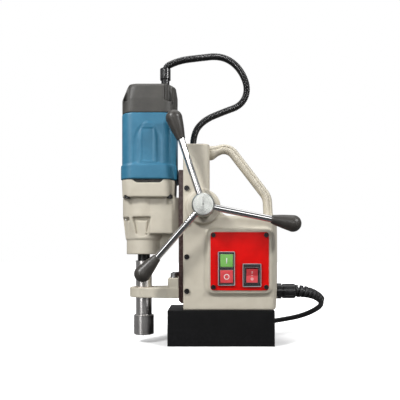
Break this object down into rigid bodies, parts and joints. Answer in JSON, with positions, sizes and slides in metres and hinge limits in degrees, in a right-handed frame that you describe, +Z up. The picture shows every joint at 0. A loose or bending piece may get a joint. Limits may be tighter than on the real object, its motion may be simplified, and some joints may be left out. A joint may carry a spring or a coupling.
{
  "type": "magnetic drill press",
  "caption": "Portable drill press on an electromagnet base, with a rack-fed drill head on a dovetail slide, a three-spoke feed handle and a switch panel.",
  "frame": {"origin": "centre of the magnet's flat pole face, which rests on the workpiece", "axes": "+Z up along the spindle and the feed, -X towards the drill head, +X towards the control box and mains lead, -Y towards the operator's feed handle and switch panel"},
  "size_m": [0.3351, 0.252, 0.4684],
  "materials": {
    "magnet_paint": "satin black",
    "copper": "enamelled wire",
    "resin": "cast",
    "cream_paint": "smooth enamel",
    "blue_plastic": "fine moulded grain",
    "dark_plastic": "moulded grain",
    "red_paint": "gloss",
    "black_steel": "black oxide",
    "steel": "ground",
    "polished_steel": "polished",
    "chrome": "bright",
    "turned_aluminium": "turned",
    "cast_aluminium": "as cast",
    "brass": "machined",
    "bronze": "sintered",
    "knob_plastic": "polished",
    "switch_plastic": "moulded",
    "green_button": "moulded",
    "red_button": "moulded",
    "rubber": "smooth",
    "gland_plastic": "moulded nylon",
    "conduit_plastic": "corrugated",
    "slide_brown": "dark brown",
    "circuit_board": "lacquered",
    "carbon": "pressed carbon",
    "laminations": "stacked sheet"
  },
  "bodies": {
    "frame": {"magnet_core": "magnet_paint", "magnet_coil": "copper", "magnet_potting": "resin", "base_bolts": "black_steel", "housing": "cream_paint", "carry_handle": "cream_paint", "gib_strip": "brass", "gib_screws": "black_steel", "hub_bushes": "bronze", "panel_plate": "red_paint", "panel_screws": "black_steel", "motor_switch": "switch_plastic", "magnet_switch": "switch_plastic", "circuit_board": "circuit_board", "mains_gland": "gland_plastic", "gland_nut": "gland_plastic", "strain_relief": "rubber", "cord_lead": "rubber", "cord_coil": "rubber", "cord_tail": "rubber", "plug": "rubber", "conduit_socket": "gland_plastic", "flexible_conduit": "conduit_plastic"},
    "carriage": {"slide": "slide_brown", "feed_rack": "steel", "gear_case": "cream_paint", "gear_case_screws": "black_steel", "gear_cover": "cast_aluminium", "spindle_bearings": "steel", "oil_seal": "rubber", "layshaft_bearings": "steel", "lower_bracket": "cream_paint", "bracket_bush": "bronze", "bracket_bolts": "steel", "motor_housing": "blue_plastic", "motor_end_cap": "dark_plastic", "end_cap_screws": "black_steel", "stator": "laminations", "field_coils": "copper", "brush_holders": "brass", "carbon_brushes": "carbon", "motor_bearings": "steel", "conduit_gland": "gland_plastic"},
    "spindle": {"spindle": "black_steel", "spindle_gear": "steel", "arbor": "polished_steel", "holder_screws": "black_steel"},
    "armature": {"armature_shaft": "steel", "armature_core": "laminations", "commutator": "copper", "cooling_fan": "switch_plastic"},
    "layshaft": {"layshaft": "steel"},
    "capstan": {"feed_hub": "turned_aluminium", "pinion_shaft": "steel", "feed_spokes": "chrome", "feed_knobs": "knob_plastic", "retaining_ring": "black_steel"},
    "start_key": {"start_button": "green_button"},
    "stop_key": {"stop_button": "red_button"},
    "magnet_key": {"magnet_rocker": "red_button"}
  },
  "joints": [
    {"name": "feed_slide", "type": "slide", "parent": "frame", "child": "carriage", "axis": [0, 0, 1], "range_m": [0, 0.1], "deforming": ["flexible_conduit"]},
    {"name": "capstan_turn", "type": "hinge", "parent": "frame", "child": "capstan", "pos_m": [-0.0274, 0, 0.214], "axis": [0, 1, 0], "range_deg": [0, 480]},
    {"name": "armature_spin", "type": "hinge", "parent": "carriage", "child": "armature", "pos_m": [-0.112, 0, 0.31], "axis": [0, 0, 1], "continuous": true},
    {"name": "layshaft_spin", "type": "hinge", "parent": "carriage", "child": "layshaft", "pos_m": [-0.09849, 0.01278, 0.22], "axis": [0, 0, 1], "continuous": true},
    {"name": "spindle_spin", "type": "hinge", "parent": "carriage", "child": "spindle", "pos_m": [-0.1234, 0, 0.1], "axis": [0, 0, 1], "continuous": true},
    {"name": "start_press", "type": "slide", "parent": "frame", "child": "start_key", "axis": [0, 1, 0], "range_m": [0, 0.003], "stiffness_N_per_m": 600, "springref_m": -0.002},
    {"name": "stop_press", "type": "slide", "parent": "frame", "child": "stop_key", "axis": [0, 1, 0], "range_m": [0, 0.003], "stiffness_N_per_m": 600, "springref_m": -0.002},
    {"name": "magnet_rock", "type": "hinge", "parent": "frame", "child": "magnet_key", "pos_m": [0.04675, -0.0415, 0.1091], "axis": [-1, 0, 0], "range_deg": [0, 14]}
  ],
  "couplings": [
    {"joint": "capstan_turn", "follows": "feed_slide", "rad_per_m": 83.333},
    {"joint": "layshaft_spin", "follows": "armature_spin", "ratio": -0.29167},
    {"joint": "spindle_spin", "follows": "armature_spin", "ratio": 0.097222}
  ]
}
